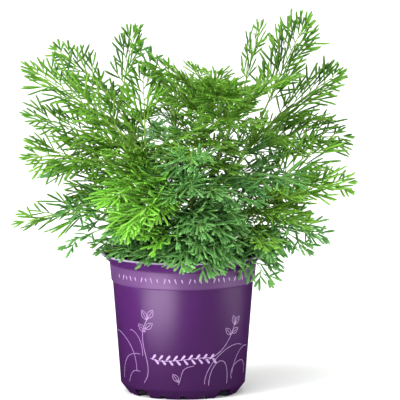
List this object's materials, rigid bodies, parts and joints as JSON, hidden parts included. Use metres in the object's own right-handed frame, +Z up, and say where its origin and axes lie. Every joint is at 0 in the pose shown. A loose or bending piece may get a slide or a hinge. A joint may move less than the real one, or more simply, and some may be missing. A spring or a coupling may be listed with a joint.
{
  "type": "potted southernwood herb",
  "caption": "Young southernwood plant with feathery, finely cut green leaves, rooted in soil in a round tapered plastic nursery pot with notched feet.",
  "frame": {"origin": "on the pot's axis, on the surface that the pot's feet stand on", "axes": "+Z up along the pot's axis; +X to the right and -Y to the front, as the plant is seen when it is on show"},
  "size_m": [0.2546, 0.2065, 0.2769],
  "materials": {
    "pot_plastic": "satin",
    "potting_soil": "matte",
    "stem_green": "satin",
    "leaf_fresh": "matte",
    "leaf_green": "matte",
    "leaf_shade": "matte"
  },
  "bodies": {
    "root": {"pot": "pot_plastic", "potting_soil": "potting_soil", "right_stem": "stem_green", "centre_stem": "stem_green", "left_stem": "stem_green", "back_left_stem": "stem_green", "back_stem": "stem_green", "back_right_stem": "stem_green", "low_right_stem": "stem_green", "front_stem": "stem_green", "front_left_stem": "stem_green", "right_leaf_1": "leaf_green", "right_leaf_2": "leaf_green", "right_leaf_3": "leaf_green", "right_leaf_4": "leaf_shade", "right_leaf_5": "leaf_shade", "right_leaf_6": "leaf_shade", "centre_leaf_1": "leaf_green", "centre_leaf_2": "leaf_green", "centre_leaf_3": "leaf_green", "centre_leaf_4": "leaf_shade", "centre_leaf_5": "leaf_shade", "left_leaf_1": "leaf_green", "left_leaf_2": "leaf_green", "left_leaf_3": "leaf_green", "left_leaf_4": "leaf_green", "left_leaf_5": "leaf_green", "left_leaf_6": "leaf_shade", "back_left_leaf_1": "leaf_green", "back_left_leaf_2": "leaf_green", "back_left_leaf_3": "leaf_green", "back_left_leaf_4": "leaf_green", "back_left_leaf_5": "leaf_shade", "back_leaf_1": "leaf_shade", "back_leaf_2": "leaf_green", "back_leaf_3": "leaf_green", "back_leaf_4": "leaf_shade", "back_leaf_5": "leaf_shade", "back_right_leaf_1": "leaf_green", "back_right_leaf_2": "leaf_green", "back_right_leaf_3": "leaf_green", "back_right_leaf_4": "leaf_green", "back_right_leaf_5": "leaf_shade", "low_right_leaf_1": "leaf_green", "low_right_leaf_2": "leaf_green", "low_right_leaf_3": "leaf_shade", "low_right_leaf_4": "leaf_shade", "low_right_leaf_5": "leaf_shade", "front_leaf_1": "leaf_shade", "front_leaf_2": "leaf_fresh", "front_leaf_3": "leaf_shade", "front_leaf_4": "leaf_shade", "front_leaf_5": "leaf_shade", "front_leaf_6": "leaf_fresh", "front_left_leaf_1": "leaf_green", "front_left_leaf_2": "leaf_green", "front_left_leaf_3": "leaf_shade", "front_left_leaf_4": "leaf_shade", "front_left_leaf_5": "leaf_shade"}
  },
  "joints": []
}
